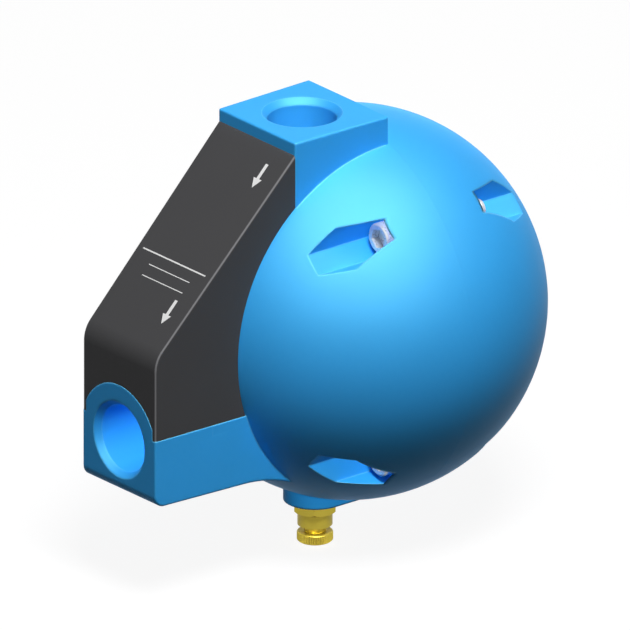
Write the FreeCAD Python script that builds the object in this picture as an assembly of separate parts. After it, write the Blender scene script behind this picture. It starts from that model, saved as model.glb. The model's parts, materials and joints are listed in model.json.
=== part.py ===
import FreeCAD, Part
import math
import os

# Automatic drain valve for compressed air, with a float.
# A ball-shaped housing in two cast halves holds a float on a lever, which lifts a rubber
# disc off a small seat and lets the water out through the side outlet. The air line's water
# comes in on top through a strainer. A black cover hides the casting between the inlet block
# and the outlet block, and a brass drain with a knurled knob empties the ball by hand.
# Sizes are in millimetres. The model is drawn about the centre of the ball: X runs from the
# outlet to the far pole, across the joint of the two halves, Y sideways and Z up. On export
# it is moved so that the origin is on the inlet's axis, where its chamfer ends and the
# thread begins.

# Ball: two halves that meet in the plane X = 0
ball_r = 53.0
ball_wall = 6.0
flange_depth = 6.0
flange_land = 8.6
joint_gap = 0.02

# Clamp screws, M5, in hexagonal pockets round the joint
clamp_screw_count = 4
screw_inset = 7.9
screw_r = 2.5
screw_hole_gap = 0.25
screw_head_r = 4.25
screw_head_length = 5.0
screw_socket_flats = 5.0
screw_socket_depth = 2.5
screw_length = 30.0
clamp_half = 11.0
pocket_flats = 11.0
pocket_boss_r = 8.8
washer_r = 5.0
washer_thickness = 1.0
nut_flats = 8.0
nut_height = 3.7
nut_collar_r = 3.5
nut_collar_height = 1.3

# Seal between the halves: a round cord squeezed in a groove of the left flange
seal_inset = 5.6
seal_groove_width = 3.2
seal_groove_depth = 1.9
seal_width = 2.8

# Pipe ports, G 1/2
port_r = 9.32
port_mouth_r = 10.8
port_chamfer = 1.7

# Both blocks of the casting leave the joint at full width and narrow away from it, by
# the draft that lets them out of the mould
block_width = 33.6
casting_draft = 1.1

# Inlet block on top
inlet_block_length = 31.5
inlet_from_joint = 16.0
inlet_rise = 5.3
inlet_port_depth = 13.8
inlet_hole_r = 8.0
inlet_boss_r = 12.5
inlet_boss_depth = 4.5
relief_r = 10.5
relief_height = 2.6
edge_round = 0.5

# Strainer in the inlet
strainer_flange_gap = 0.22
strainer_flange_thickness = 1.0
strainer_gap = 0.2
strainer_wall = 0.5
strainer_length = 11.0
strainer_slot_count = 10
strainer_slot_width = 1.6
strainer_slot_height = 7.0
strainer_ring_thickness = 1.2
strainer_ring_width = 2.0
strainer_ring_opening = 5.0

# Outlet block at the side
outlet_length = 25.8
outlet_z = -19.6
outlet_port_depth = 16.0
outlet_passage_r = 3.0
outlet_foot = 15.1
outlet_foot_round = 3.2
outlet_flat_length = 30.0
haunch_r = 42.0
haunch_length = 20.0
ledge_above_axis = 4.0
port_boss_r = 15.6
port_boss_length = 18.0
port_boss_inset = 1.3
rib_thickness = 4.0
rib_gap = 1.0

# Black cover
cover_wall = 2.5
cover_gap = 0.05
cover_ball_gap = 0.3
cover_band = 3.45
cover_slope = 45.0
cover_corner_r = 8.0
cover_edge_round = 0.8
tongue_length = 6.0
tongue_thickness = 1.5
tongue_depth = 3.0
tongue_gap = 0.15
tongue_place = 22.5

# Manual drain below
drain_x = -11.6
drain_boss_r = 8.5
drain_boss_drop = 0.6
drain_thread_r = 4.86
drain_thread_length = 6.6
drain_hex_flats = 11.0
drain_hex_height = 3.3
drain_hex_chamfer = 0.7
drain_hex_turn = 20.5
drain_barrel_r = 4.7
drain_barrel_height = 3.9
drain_inlet_r = 1.6
drain_seat_depth = 1.6
spindle_r = 2.9
spindle_gap = 0.05
spindle_tip_r = 2.0
spindle_tip_length = 2.6
spindle_tail_r = 2.0
drain_hole_r = 1.0
drain_cross_hole_r = 0.7
spindle_neck_height = 2.0
spindle_groove_r = 2.3
spindle_groove_height = 1.4
spindle_groove_inset = 2.2
knob_r = 4.85
knob_height = 2.6
knob_tooth_count = 60
knob_tooth_depth = 0.2
knob_chamfer = 0.3

# Outlet valve: seat, pad and bracket inside the ball
pad_stand = 11.0
pad_height = 16.0
pad_width = 30.0
spot_face_gap = 0.5
seat_thread_r = 4.0
seat_thread_length = 11.0
seat_flats = 10.0
seat_hex_height = 3.5
seat_nose_r = 3.0
seat_nose_height = 1.5
seat_lip_r = 1.2
seat_lip_height = 0.3
seat_bore_r = 2.0
orifice_r = 0.5
orifice_length = 3.0
gasket_thickness = 1.0
gasket_r = 5.6
bracket_thickness = 1.2
bracket_hole_gap = 0.4
bracket_screw_r = 1.5
bracket_screw_place = 10.5
bracket_screw_length = 8.0
bracket_screw_head_r = 2.75
bracket_screw_head_height = 2.0
bracket_screw_slot = 0.8
bracket_wing_r = 4.5
bracket_rise = 12.5
ear_height = 8.0
ear_reach = 10.5

# Pivot of the float lever
pivot_stand = 7.5
pivot_rise = 8.0
pin_r = 1.25
pin_gap = 0.05
pin_end = 0.7
clip_r = 2.5
clip_thickness = 0.5
clip_groove_depth = 0.3
clip_play = 0.1

# Float lever, pressed from sheet
lever_thickness = 1.0
lever_half_width = 6.8
lever_side_gap = 0.3
lever_round = 3.5
lever_reach = 7.0
lever_half_height = 4.5
lever_swing = 15.0
stop_gap = 0.1
tab_near = 1.0
tab_far = 4.0
tab_drop = 12.5

# Rubber disc and its holder on the lever
disc_r = 2.4
disc_thickness = 1.45
disc_gap = 0.05
holder_r = 3.2
holder_depth = 0.8
holder_stem_r = 1.5
holder_head_r = 2.2
holder_head_height = 0.8

# Float: two drawn half shells welded at the seam, with a stud. It is as large as the way
# through the flange leaves free.
float_gap = 1.5
float_sheet = 0.5
float_stud_free = 4.5
float_stud_r = 2.0
float_shoulder_r = 3.0
float_nut_flats = 7.0
float_nut_height = 3.2
float_stud_end = 0.6

# Clearances shared by several fits
thread_gap = 0.02
fit_gap = 0.02

# Places worked out from the sizes above
cavity_r = ball_r - ball_wall
screw_circle_r = ball_r - screw_inset
flange_bore_r = screw_circle_r - flange_land
seal_r = screw_circle_r - seal_inset
block_half = block_width / 2
draft = math.tan(math.radians(casting_draft))
inlet_x = -inlet_from_joint
inlet_top = ball_r + inlet_rise
inlet_shoulder_z = inlet_top - inlet_port_depth
inlet_boss_z = inlet_shoulder_z - inlet_boss_depth
outlet_end_x = -(ball_r + outlet_length)
ledge_z = outlet_z + ledge_above_axis
foot_z = outlet_z - outlet_foot
cover_top_z = inlet_top - cover_band
drain_boss_z = -(ball_r + drain_boss_drop)
hex_z = drain_boss_z - drain_hex_height
barrel_z = hex_z - drain_barrel_height
knob_z = barrel_z - spindle_neck_height
knob_foot_z = knob_z - knob_height
thread_top_z = drain_boss_z + drain_thread_length
pad_x = -(cavity_r - pad_stand)
gasket_x = pad_x + gasket_thickness
seat_hex_x = gasket_x + seat_hex_height
seat_nose_x = seat_hex_x + seat_nose_height - seat_lip_height
seat_lip_x = seat_nose_x + seat_lip_height
bracket_x = pad_x + bracket_thickness
ear_in = lever_half_width + lever_side_gap
ear_out = ear_in + bracket_thickness
pivot_x = pad_x + pivot_stand
pivot_z = outlet_z + pivot_rise
web_x = pivot_x + lever_reach
float_r = flange_bore_r - abs(pivot_z) - float_gap
float_x = web_x + float_stud_free + float_r

X = FreeCAD.Vector(1, 0, 0)
Y = FreeCAD.Vector(0, 1, 0)
Z = FreeCAD.Vector(0, 0, 1)
centre = FreeCAD.Vector(0, 0, 0)
origin_shift = FreeCAD.Vector(-inlet_x, 0, port_chamfer - inlet_top)


def at(x, y, z):
    return FreeCAD.Vector(x, y, z)


def rod(radius, start, end):
    """Round bar from one point to another."""
    along = end - start
    return Part.makeCylinder(radius, along.Length, start, along)


def tube(outer_r, inner_r, start, end):
    """Round bar with a hole through it."""
    return rod(outer_r, start, end).cut(rod(inner_r, start, end))


def block(low, high):
    """Box from its lowest corner to its highest."""
    size = high - low
    return Part.makeBox(size.x, size.y, size.z, low)


def outline(start, *steps):
    """Closed wire. A step is the next point, or (through, end) for an arc."""
    edges = []
    here = start
    for step in steps:
        if isinstance(step, tuple):
            edges.append(Part.Arc(here, step[0], step[1]).toShape())
            here = step[1]
        else:
            edges.append(Part.makeLine(here, step))
            here = step
    if here.distanceToPoint(start) > 1e-6:
        edges.append(Part.makeLine(here, start))
    return Part.Wire(edges)


def spin(wire, point, axis):
    """Solid of revolution of a closed wire."""
    return Part.Face(wire).revolve(point, axis, 360)


def slab(wire, thickness, direction=Y):
    """A closed wire made as thick as stated, half to each side of where it lies."""
    low = Part.Face(wire)
    low.translate(direction * (-thickness / 2))
    return low.extrude(direction * thickness)


def hexagon(flats, start, end, toward):
    """Six-sided bar from one point to another, with a flat facing the direction toward."""
    along = (end - start).normalize()
    across = along.cross(toward).normalize()
    corner_r = flats / math.sqrt(3)
    corners = []
    for i in range(7):
        turn = math.radians(30 + 60 * i)
        corners.append(
            start + toward * (corner_r * math.cos(turn)) + across * (corner_r * math.sin(turn))
        )
    return Part.Face(Part.makePolygon(corners)).extrude(end - start)


def fused(first, *others):
    shape = first.multiFuse(list(others)) if others else first
    return shape.removeSplitter()


def screw_places():
    """Direction from the X axis out to each clamp screw."""
    places = []
    for i in range(clamp_screw_count):
        turn = math.radians(360 * (i + 0.5) / clamp_screw_count)
        places.append(at(0, math.cos(turn), math.sin(turn)))
    return places


def half_ball(side):
    """One half of the ball with its inner flange and the screws' bosses, holes and pockets.

    side is -1 for the half towards the outlet and +1 for the far half.
    """
    diagonal = math.sqrt(0.5)
    face_x = side * joint_gap / 2
    rim_z = math.sqrt(ball_r**2 - face_x**2)
    step_z = math.sqrt(cavity_r**2 - flange_depth**2)
    shell = spin(
        outline(
            at(face_x, 0, rim_z),
            (at(side * ball_r * diagonal, 0, ball_r * diagonal), at(side * ball_r, 0, 0)),
            at(side * cavity_r, 0, 0),
            (
                at(side * cavity_r * diagonal, 0, cavity_r * diagonal),
                at(side * flange_depth, 0, step_z),
            ),
            at(side * flange_depth, 0, flange_bore_r),
            at(face_x, 0, flange_bore_r),
        ),
        centre,
        X,
    )
    bosses = []
    for out in screw_places():
        middle = out * screw_circle_r
        bosses.append(rod(pocket_boss_r, middle + X * face_x, middle + X * (side * ball_r)))
    ball = Part.makeSphere(ball_r)
    shell = fused(shell, *[boss.common(ball) for boss in bosses])
    return shell


def pockets(side):
    """What the screws' pockets and holes take out of one half."""
    cuts = []
    for out in screw_places():
        middle = out * screw_circle_r
        seat = middle + X * (side * clamp_half)
        cuts.append(rod(screw_r + screw_hole_gap, middle, seat + X * side))
        cuts.append(hexagon(pocket_flats, seat, middle + X * (side * ball_r), out))
    return cuts


def port_cut(mouth, inward, depth):
    """Pipe port: a plain bore with a chamfered mouth."""
    bore = rod(port_r, mouth, mouth + inward * depth)
    chamfer = Part.makeCone(port_mouth_r, port_r, port_chamfer, mouth, inward)
    return bore.fuse(chamfer)


def cover_line_z(x, inward):
    """Height of the cover's slope at x, or of a line that lies so much further inside."""
    slope = math.radians(cover_slope)
    return cover_top_z - (-inlet_block_length - x) * math.tan(slope) - inward / math.cos(slope)


def half_width(x):
    """Half the width of the blocks and of the cover, which narrow away from the joint."""
    return block_half + x * draft


def between_sides(inward, low_z, high_z):
    """The room between the blocks' two sides, each moved inward by so much."""
    far_x = outlet_end_x - cover_wall
    near_y = half_width(0) - inward
    far_y = half_width(far_x) - inward
    plan = outline(
        at(0, near_y, low_z),
        at(far_x, far_y, low_z),
        at(far_x, -far_y, low_z),
        at(0, -near_y, low_z),
    )
    return Part.Face(plan).extrude(Z * (high_z - low_z))


def inlet_block():
    low = at(-inlet_block_length, -block_half, cavity_r * math.sqrt(0.5))
    high = at(-joint_gap / 2, block_half, inlet_top)
    solid = block(low, high).common(between_sides(0, low.z, high.z))
    rounded = []
    for edge in solid.Edges:
        middle = edge.CenterOfMass
        if middle.z > low.z + edge_round:
            rounded.append(edge)
    return solid.makeFillet(edge_round, rounded)


def outlet_block():
    """Side block: nearly flat below near the port, then a hollow curve down to the ball."""
    lean = math.radians(casting_draft)
    quarter = math.pi / 2

    def outward(turn):
        """Direction down and, by the turn, towards the outlet's end."""
        return at(-math.sin(turn), 0, -math.cos(turn))

    round_x = outlet_end_x + outlet_foot_round
    round_z = foot_z - outlet_foot_round * draft + outlet_foot_round / math.cos(lean)
    round_at = at(round_x, 0, round_z)
    flat_end = at(outlet_end_x + outlet_flat_length, 0, foot_z - outlet_flat_length * draft)
    haunch_at = flat_end + outward(lean) * haunch_r
    end_x = flat_end.x + haunch_length
    end_turn = math.asin((end_x - haunch_at.x) / haunch_r)
    middle_turn = (lean + end_turn) / 2
    profile = outline(
        at(outlet_end_x, 0, ledge_z),
        at(outlet_end_x, 0, round_z),
        (
            round_at + outward((quarter + lean) / 2) * outlet_foot_round,
            round_at + outward(lean) * outlet_foot_round,
        ),
        flat_end,
        (haunch_at - outward(middle_turn) * haunch_r, haunch_at - outward(end_turn) * haunch_r),
        at(end_x, 0, ledge_z),
    )
    solid = slab(profile, block_width).common(between_sides(0, -ball_r, ledge_z))
    rounded = []
    for edge in solid.Edges:
        middle = edge.CenterOfMass
        on_side = abs(abs(middle.y) - half_width(middle.x)) < 1e-3
        if on_side and middle.z < ledge_z - edge_round and middle.x < end_x - edge_round:
            rounded.append(edge)
    return solid.makeFillet(edge_round, rounded)


def port_boss(grow, start_x):
    """Upper half of the outlet port's round boss, cut flat beside the cover's sides."""
    radius = port_boss_r + grow
    end_x = outlet_end_x + port_boss_length + grow
    bar = rod(radius, at(start_x, 0, outlet_z), at(end_x, 0, outlet_z))
    return bar.common(between_sides(port_boss_inset - grow, outlet_z, outlet_z + radius))


def rib():
    """Web of the casting under the cover, from the inlet block to the outlet's boss."""
    inward = cover_wall + rib_gap
    near_x = -inlet_block_length + 1
    far_x = outlet_end_x + outlet_flat_length / 3
    return slab(
        outline(
            at(near_x, 0, cover_line_z(near_x, inward)),
            at(far_x, 0, cover_line_z(far_x, inward)),
            at(far_x, 0, outlet_z),
            at(near_x, 0, outlet_z),
        ),
        rib_thickness,
    )


def pad(start_x, end_x, grow):
    """Flat-topped and round-ended pad that carries the seat and the bracket."""
    half_height = pad_height / 2 + grow
    reach = pad_width / 2 - pad_height / 2
    middle = block(at(start_x, -reach, outlet_z - half_height), at(end_x, reach, outlet_z + half_height))
    ends = []
    for y in (-reach, reach):
        ends.append(rod(half_height, at(start_x, y, outlet_z), at(end_x, y, outlet_z)))
    return fused(middle, *ends)


def tongues(gap):
    """Small tongues on the cover's lower edges, or their slots with a gap all round."""
    x = outlet_end_x + tongue_place
    reach = tongue_length / 2 + gap
    outer = half_width(x) - (cover_wall - tongue_thickness) / 2
    inner = outer - tongue_thickness
    low_z = ledge_z - tongue_depth - gap
    shapes = []
    for side in (-1, 1):
        y = sorted((side * (inner - gap), side * (outer + gap)))
        shapes.append(block(at(x - reach, y[0], low_z), at(x + reach, y[1], ledge_z + gap)))
    return shapes


def drain_boss():
    """Round-ended boss under the ball, which runs to the joint."""
    top_z = -cavity_r * math.sqrt(0.5)
    bar = rod(drain_boss_r, at(drain_x, 0, drain_boss_z), at(drain_x, 0, top_z))
    low = at(drain_x, -drain_boss_r, drain_boss_z)
    high = at(-joint_gap / 2, drain_boss_r, top_z)
    return fused(bar, block(low, high))


def body_casting():
    cavity = Part.makeSphere(cavity_r)
    outside = [
        inlet_block(),
        outlet_block(),
        port_boss(0, outlet_end_x),
        rib(),
        drain_boss(),
    ]
    outside = [piece.cut(cavity) for piece in outside]
    inside = [
        rod(inlet_boss_r, at(inlet_x, 0, inlet_boss_z), at(inlet_x, 0, ball_r)),
        pad(-(cavity_r + ball_wall / 2), pad_x, 0).common(Part.makeSphere(ball_r)),
    ]
    shape = fused(half_ball(-1), *outside, *inside)
    joint_x = -joint_gap / 2
    cuts = pockets(-1)
    cuts.append(pad(pad_x, pad_x + pad_stand / 2, spot_face_gap))
    cuts.append(port_cut(at(inlet_x, 0, inlet_top), Z * -1, inlet_port_depth))
    cuts.append(rod(inlet_hole_r, at(inlet_x, 0, inlet_top), at(inlet_x, 0, inlet_boss_z)))
    cuts.append(
        rod(relief_r, at(inlet_x, 0, inlet_shoulder_z), at(inlet_x, 0, inlet_shoulder_z + relief_height))
    )
    cuts.append(port_cut(at(outlet_end_x, 0, outlet_z), X, outlet_port_depth))
    cuts.append(rod(outlet_passage_r, at(outlet_end_x, 0, outlet_z), at(pad_x, 0, outlet_z)))
    seat_end_x = pad_x - seat_thread_length
    cuts.append(rod(seat_thread_r + thread_gap, at(seat_end_x, 0, outlet_z), at(pad_x, 0, outlet_z)))
    for y in (-bracket_screw_place, bracket_screw_place):
        cuts.append(
            rod(
                bracket_screw_r + thread_gap,
                at(pad_x - bracket_screw_length, y, outlet_z),
                at(pad_x, y, outlet_z),
            )
        )
    cuts.append(
        rod(drain_thread_r + thread_gap, at(drain_x, 0, drain_boss_z), at(drain_x, 0, -flange_bore_r))
    )
    cuts.append(
        tube(
            seal_r + seal_groove_width / 2,
            seal_r - seal_groove_width / 2,
            at(joint_x - seal_groove_depth, 0, 0),
            at(joint_x, 0, 0),
        )
    )
    cuts.extend(tongues(tongue_gap))
    for cut in cuts:
        shape = shape.cut(cut)
    return shape.removeSplitter()


def ball_cover():
    shape = half_ball(1)
    for cut in pockets(1):
        shape = shape.cut(cut)
    return shape.removeSplitter()


def squeezed_ring(inner_r, outer_r, height, start, axis, across):
    """Seal ring with rounded sides and two flats, from start along axis."""
    bulge = height / 2
    middle = axis * bulge
    top = axis * height
    inner = across * (inner_r + bulge / 2)
    outer = across * (outer_r - bulge / 2)
    section = outline(
        start + inner,
        start + outer,
        (start + middle + across * outer_r, start + outer + top),
        start + inner + top,
        (start + middle + across * inner_r, start + inner),
    )
    return spin(section, start, axis)


def joint_o_ring():
    start = at(-joint_gap / 2 - seal_groove_depth, 0, 0)
    return squeezed_ring(
        seal_r - seal_width / 2,
        seal_r + seal_width / 2,
        seal_groove_depth,
        start,
        X,
        Z,
    )


def label_cover():
    """Plastic cover: a sloped shell over the casting, open towards the ball and below."""
    slope = math.radians(cover_slope)
    bend = math.pi / 2 - slope
    edge_x = -inlet_block_length - cover_gap

    def profile(inward, near_x, bottom_z):
        corner_r = cover_corner_r - inward
        face_x = outlet_end_x + inward
        corner_z = cover_line_z(face_x, inward)
        setback = corner_r * math.tan(bend / 2)
        on_slope = at(face_x + setback * math.cos(slope), 0, corner_z + setback * math.sin(slope))
        on_face = at(face_x, 0, corner_z - setback)
        centre_x = face_x + corner_r
        middle = at(
            centre_x - corner_r * math.cos(bend / 2),
            0,
            corner_z - setback + corner_r * math.sin(bend / 2),
        )
        return outline(
            at(near_x, 0, bottom_z),
            at(near_x, 0, cover_line_z(near_x, inward)),
            on_slope,
            (middle, on_face),
            at(face_x, 0, bottom_z),
        )

    outer = slab(profile(0, edge_x, ledge_z), block_width)
    outer = outer.common(between_sides(0, ledge_z, inlet_top))
    rounded = []
    for edge in outer.Edges:
        middle = edge.CenterOfMass
        on_side = abs(abs(middle.y) - half_width(middle.x)) < 1e-3
        inner_edge = middle.x > edge_x - cover_wall or middle.z < ledge_z + cover_wall
        if on_side and not inner_edge:
            rounded.append(edge)
    outer = outer.makeFillet(cover_edge_round, rounded)
    inner = slab(profile(cover_wall, 0, ledge_z - cover_wall), block_width)
    inner = inner.common(between_sides(cover_wall, ledge_z - cover_wall, inlet_top))
    shape = outer.cut(inner)
    shape = shape.cut(Part.makeSphere(ball_r + cover_ball_gap))
    shape = shape.cut(port_boss(cover_gap, outlet_end_x - cover_wall))
    return fused(shape, *tongues(0))


def grouped(pieces):
    return Part.makeCompound(pieces)


def clamp_screws():
    """Socket head screws, put in from the outlet's side."""
    pieces = []
    for out in screw_places():
        seat = out * screw_circle_r - X * clamp_half
        top = seat - X * screw_head_length
        head = rod(screw_head_r, seat, top)
        rim = [edge for edge in head.Edges if abs(edge.CenterOfMass.x - top.x) < 1e-3]
        head = head.makeChamfer(edge_round, rim)
        socket = hexagon(screw_socket_flats, top, top + X * screw_socket_depth, out)
        shank = rod(screw_r, seat, seat + X * screw_length)
        pieces.append(head.fuse(shank).removeSplitter().cut(socket))
    return grouped(pieces)


def clamp_washers():
    pieces = []
    for out in screw_places():
        seat = out * screw_circle_r + X * clamp_half
        pieces.append(tube(washer_r, screw_r + screw_hole_gap, seat, seat + X * washer_thickness))
    return grouped(pieces)


def clamp_nuts():
    """Lock nuts: a hexagon with a round collar that holds the plastic ring."""
    pieces = []
    for out in screw_places():
        start = out * screw_circle_r + X * (clamp_half + washer_thickness)
        collar_x = X * nut_height
        end = start + X * (nut_height + nut_collar_height)
        nut = fused(
            hexagon(nut_flats, start, start + collar_x, out),
            rod(nut_collar_r, start + collar_x, end),
        )
        pieces.append(nut.cut(rod(screw_r + thread_gap, start, end)))
    return grouped(pieces)


def inlet_strainer():
    """Cup with slots, which hangs by its flange on the shoulder of the inlet bore."""
    outer_r = inlet_hole_r - strainer_gap
    inner_r = outer_r - strainer_wall
    top_z = inlet_shoulder_z + strainer_flange_thickness
    foot = inlet_shoulder_z - strainer_length
    flange_r = port_r - strainer_flange_gap
    cup = spin(
        outline(
            at(inlet_x, 0, foot),
            at(inlet_x + outer_r, 0, foot),
            at(inlet_x + outer_r, 0, inlet_shoulder_z),
            at(inlet_x + flange_r, 0, inlet_shoulder_z),
            at(inlet_x + flange_r, 0, top_z),
            at(inlet_x + inner_r, 0, top_z),
            at(inlet_x + inner_r, 0, foot + strainer_wall),
            at(inlet_x, 0, foot + strainer_wall),
        ),
        at(inlet_x, 0, 0),
        Z,
    )
    slots = []
    for i in range(strainer_slot_count):
        slot = block(
            at(inner_r - strainer_wall, -strainer_slot_width / 2, foot + 2 * strainer_wall),
            at(outer_r + strainer_wall, strainer_slot_width / 2, foot + strainer_slot_height),
        )
        slot.rotate(centre, Z, 360 * i / strainer_slot_count)
        slot.translate(at(inlet_x, 0, 0))
        slots.append(slot)
    return cup.cut(slots)


def strainer_ring():
    """Spring ring in the relief above the strainer's flange."""
    low_z = inlet_shoulder_z + strainer_flange_thickness
    low = at(inlet_x, 0, low_z)
    high = at(inlet_x, 0, low_z + strainer_ring_thickness)
    outer_r = relief_r - strainer_gap
    ring = tube(outer_r, outer_r - strainer_ring_width, low, high)
    half = strainer_ring_opening / 2
    opening = block(at(inlet_x, -half, low.z), at(inlet_x + outer_r + 1, half, high.z))
    return ring.cut(opening)


def drain_valve_body():
    axis_low = at(drain_x, 0, barrel_z)
    turn = math.radians(drain_hex_turn)
    toward = at(math.cos(turn), math.sin(turn), 0)
    hex_bar = hexagon(drain_hex_flats, at(drain_x, 0, drain_boss_z), at(drain_x, 0, hex_z), toward)
    corner_r = drain_hex_flats / math.sqrt(3)
    taper = Part.makeCone(
        corner_r - drain_hex_chamfer,
        corner_r - drain_hex_chamfer + drain_hex_height,
        drain_hex_height,
        at(drain_x, 0, hex_z),
        Z,
    )
    hex_bar = hex_bar.common(taper)
    bore_r = spindle_r + spindle_gap
    seat_z = thread_top_z - drain_seat_depth
    cone_height = bore_r - drain_inlet_r
    shape = fused(
        hex_bar,
        rod(drain_thread_r, at(drain_x, 0, drain_boss_z), at(drain_x, 0, thread_top_z)),
        rod(drain_barrel_r, at(drain_x, 0, hex_z), axis_low),
    )
    shape = shape.cut(rod(drain_inlet_r, axis_low, at(drain_x, 0, thread_top_z)))
    shape = shape.cut(rod(bore_r, axis_low, at(drain_x, 0, seat_z - cone_height)))
    seat_low = at(drain_x, 0, seat_z - cone_height)
    return shape.cut(Part.makeCone(bore_r, drain_inlet_r, cone_height, seat_low, Z))


def groove_top_z():
    return barrel_z + spindle_groove_inset + spindle_groove_height


def drain_spindle():
    """Spindle with a cone that closes the seat, and a hole that leads the water out below."""
    bore_r = spindle_r + spindle_gap
    cone_height = bore_r - drain_inlet_r
    shoulder_z = thread_top_z - drain_seat_depth - cone_height
    tip_foot_z = shoulder_z - spindle_tip_length
    groove_high = groove_top_z()
    groove_low = groove_high - spindle_groove_height
    shape = spin(
        outline(
            at(drain_x, 0, knob_foot_z),
            at(drain_x + spindle_tail_r, 0, knob_foot_z),
            at(drain_x + spindle_tail_r, 0, knob_z),
            at(drain_x + spindle_r, 0, knob_z),
            at(drain_x + spindle_r, 0, groove_low),
            at(drain_x + spindle_groove_r, 0, groove_low),
            at(drain_x + spindle_groove_r, 0, groove_high),
            at(drain_x + spindle_r, 0, groove_high),
            at(drain_x + spindle_r, 0, tip_foot_z),
            at(drain_x + spindle_tip_r, 0, tip_foot_z),
            at(drain_x + spindle_tip_r, 0, shoulder_z + bore_r - spindle_tip_r - 2 * spindle_gap),
            at(drain_x, 0, shoulder_z + bore_r - 2 * spindle_gap),
        ),
        at(drain_x, 0, 0),
        Z,
    )
    middle_z = tip_foot_z + spindle_tip_length / 2
    axial = rod(drain_hole_r, at(drain_x, 0, knob_foot_z), at(drain_x, 0, middle_z))
    cross = rod(
        drain_cross_hole_r,
        at(drain_x, -spindle_r, middle_z),
        at(drain_x, spindle_r, middle_z),
    )
    return shape.cut(axial).cut(cross)


def spindle_o_ring():
    play = (spindle_groove_height - 2 * (spindle_r - spindle_groove_r)) / 2
    height = spindle_groove_height - 2 * play
    start = at(drain_x, 0, groove_top_z() - spindle_groove_height + play)
    return squeezed_ring(
        spindle_groove_r + fit_gap,
        spindle_r + spindle_gap - fit_gap,
        height,
        start,
        Z,
        X,
    )


def drain_knob():
    """Knob with straight knurling and chamfered rims."""
    root_r = knob_r - knob_tooth_depth
    corners = []
    for i in range(2 * knob_tooth_count + 1):
        radius = root_r if i % 2 else knob_r
        turn = math.pi * i / knob_tooth_count
        corners.append(
            at(drain_x + radius * math.cos(turn), radius * math.sin(turn), knob_foot_z)
        )
    knurled = Part.Face(Part.makePolygon(corners)).extrude(Z * knob_height)
    rims = spin(
        outline(
            at(drain_x, 0, knob_foot_z),
            at(drain_x + knob_r - knob_chamfer, 0, knob_foot_z),
            at(drain_x + knob_r, 0, knob_foot_z + knob_chamfer),
            at(drain_x + knob_r, 0, knob_z - knob_chamfer),
            at(drain_x + knob_r - knob_chamfer, 0, knob_z),
            at(drain_x, 0, knob_z),
        ),
        at(drain_x, 0, 0),
        Z,
    )
    hole = rod(spindle_tail_r + fit_gap, at(drain_x, 0, knob_foot_z), at(drain_x, 0, knob_z))
    return knurled.common(rims).cut(hole)


def valve_seat():
    """Screwed-in seat with a small hole and a raised lip for the rubber disc."""
    lip = Part.makeCone(
        seat_nose_r, seat_lip_r, seat_lip_height, at(seat_nose_x, 0, outlet_z), X
    )
    thread_end_x = pad_x - seat_thread_length
    shape = fused(
        rod(seat_thread_r, at(thread_end_x, 0, outlet_z), at(gasket_x, 0, outlet_z)),
        hexagon(seat_flats, at(gasket_x, 0, outlet_z), at(seat_hex_x, 0, outlet_z), Z),
        rod(seat_nose_r, at(seat_hex_x, 0, outlet_z), at(seat_nose_x, 0, outlet_z)),
        lip,
    )
    orifice_end = at(seat_lip_x - orifice_length, 0, outlet_z)
    shape = shape.cut(rod(orifice_r, orifice_end, at(seat_lip_x, 0, outlet_z)))
    return shape.cut(rod(seat_bore_r, at(thread_end_x, 0, outlet_z), orifice_end))


def seat_gasket():
    return tube(gasket_r, seat_thread_r + fit_gap, at(pad_x, 0, outlet_z), at(gasket_x, 0, outlet_z))


def lever_bracket():
    """Pressed bracket: a plate round the seat, two screw wings and two ears for the pin."""
    hole_r = seat_flats / math.sqrt(3) + bracket_hole_gap
    low_z = outlet_z - pad_height / 2
    top_z = outlet_z + bracket_rise
    plate = block(at(pad_x, -ear_out, low_z), at(bracket_x, ear_out, top_z))
    bridge = block(
        at(pad_x, -bracket_screw_place, outlet_z - bracket_wing_r),
        at(bracket_x, bracket_screw_place, outlet_z + bracket_wing_r),
    )
    pieces = [bridge]
    holes = [rod(hole_r, at(pad_x, 0, outlet_z), at(bracket_x, 0, outlet_z))]
    for side in (-1, 1):
        place = side * bracket_screw_place
        pieces.append(rod(bracket_wing_r, at(pad_x, place, outlet_z), at(bracket_x, place, outlet_z)))
        holes.append(
            rod(
                bracket_screw_r + screw_hole_gap,
                at(pad_x, place, outlet_z),
                at(bracket_x, place, outlet_z),
            )
        )
        y = sorted((side * ear_in, side * ear_out))
        ear = block(
            at(pad_x, y[0], top_z - ear_height),
            at(pad_x + ear_reach - lever_round, y[1], top_z),
        )
        nose_z = top_z - ear_height / 2
        nose = rod(
            ear_height / 2,
            at(pad_x + ear_reach - lever_round, y[0], nose_z),
            at(pad_x + ear_reach - lever_round, y[1], nose_z),
        )
        pieces.extend([ear, nose])
    shape = fused(plate, *pieces)
    pin_hole = rod(
        pin_r + fit_gap,
        at(pivot_x, -ear_out, pivot_z),
        at(pivot_x, ear_out, pivot_z),
    )
    for cut in holes + [pin_hole]:
        shape = shape.cut(cut)
    return shape


def bracket_screws():
    """Slotted screws that hold the bracket on the pad."""
    pieces = []
    for y in (-bracket_screw_place, bracket_screw_place):
        seat = at(bracket_x, y, outlet_z)
        top = seat + X * bracket_screw_head_height
        shank_end = at(pad_x - bracket_screw_length + bracket_screw_r, y, outlet_z)
        screw = fused(rod(bracket_screw_head_r, seat, top), rod(bracket_screw_r, shank_end, seat))
        slot = block(
            at(top.x - bracket_screw_slot, y - bracket_screw_head_r, outlet_z - bracket_screw_slot / 2),
            at(top.x, y + bracket_screw_head_r, outlet_z + bracket_screw_slot / 2),
        )
        pieces.append(screw.cut(slot))
    return grouped(pieces)


def clip_start():
    return ear_out + clip_play


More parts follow.
